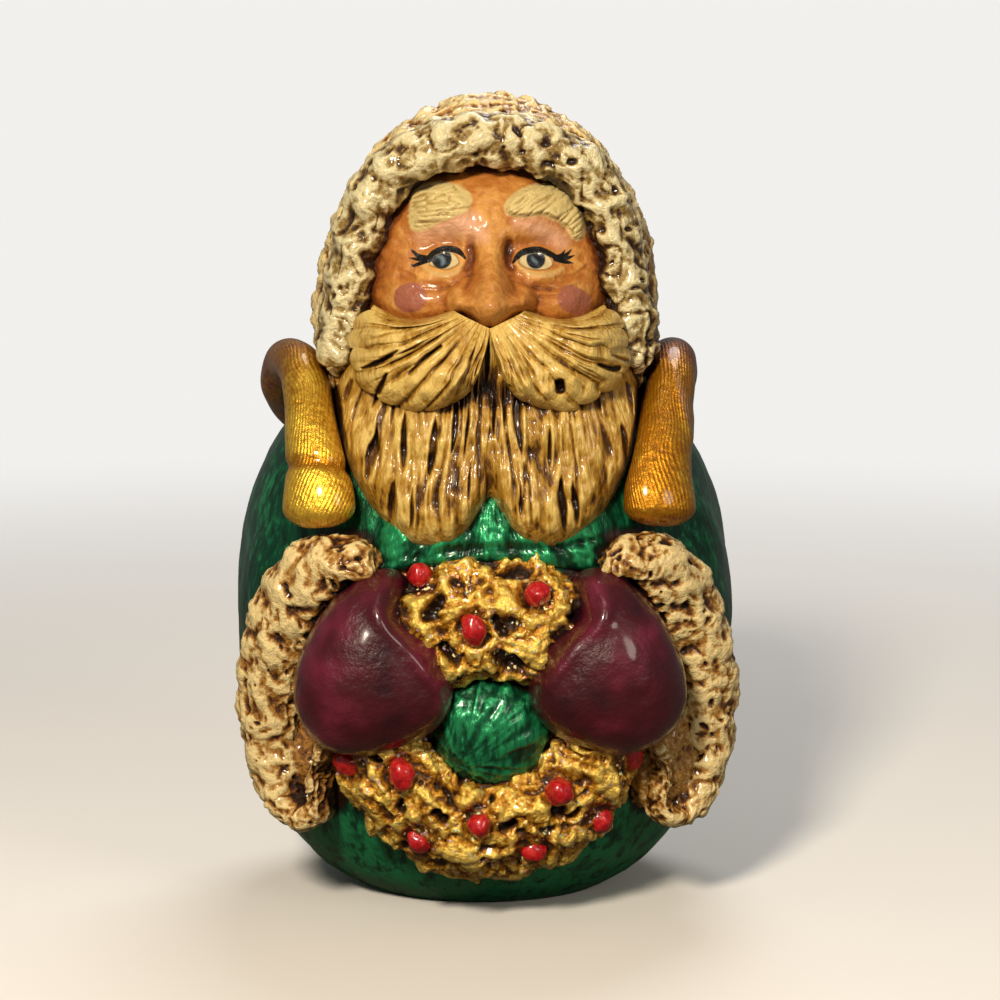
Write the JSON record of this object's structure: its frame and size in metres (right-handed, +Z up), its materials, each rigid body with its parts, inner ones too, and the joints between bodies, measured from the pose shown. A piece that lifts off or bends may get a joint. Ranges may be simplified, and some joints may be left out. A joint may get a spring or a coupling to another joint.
{
  "type": "santa figurine",
  "caption": "Roly-poly Father Christmas figurine: egg-shaped robe, fur hood and cuffs, forked beard, gold collar, mittens holding a berried wreath on the belly.",
  "frame": {"origin": "middle of the flat foot, at the bottom of the figurine", "axes": "+Z up, -Y is the way the face looks, +X is the viewer's right"},
  "size_m": [0.0747, 0.0715, 0.1196],
  "materials": {
    "painted_resin": "cast resin, hand painted in green, gold, maroon, cream and flesh, antiqued with umber and varnished glossy"
  },
  "bodies": {
    "root": {"santa_figurine": "painted_resin"}
  },
  "joints": []
}
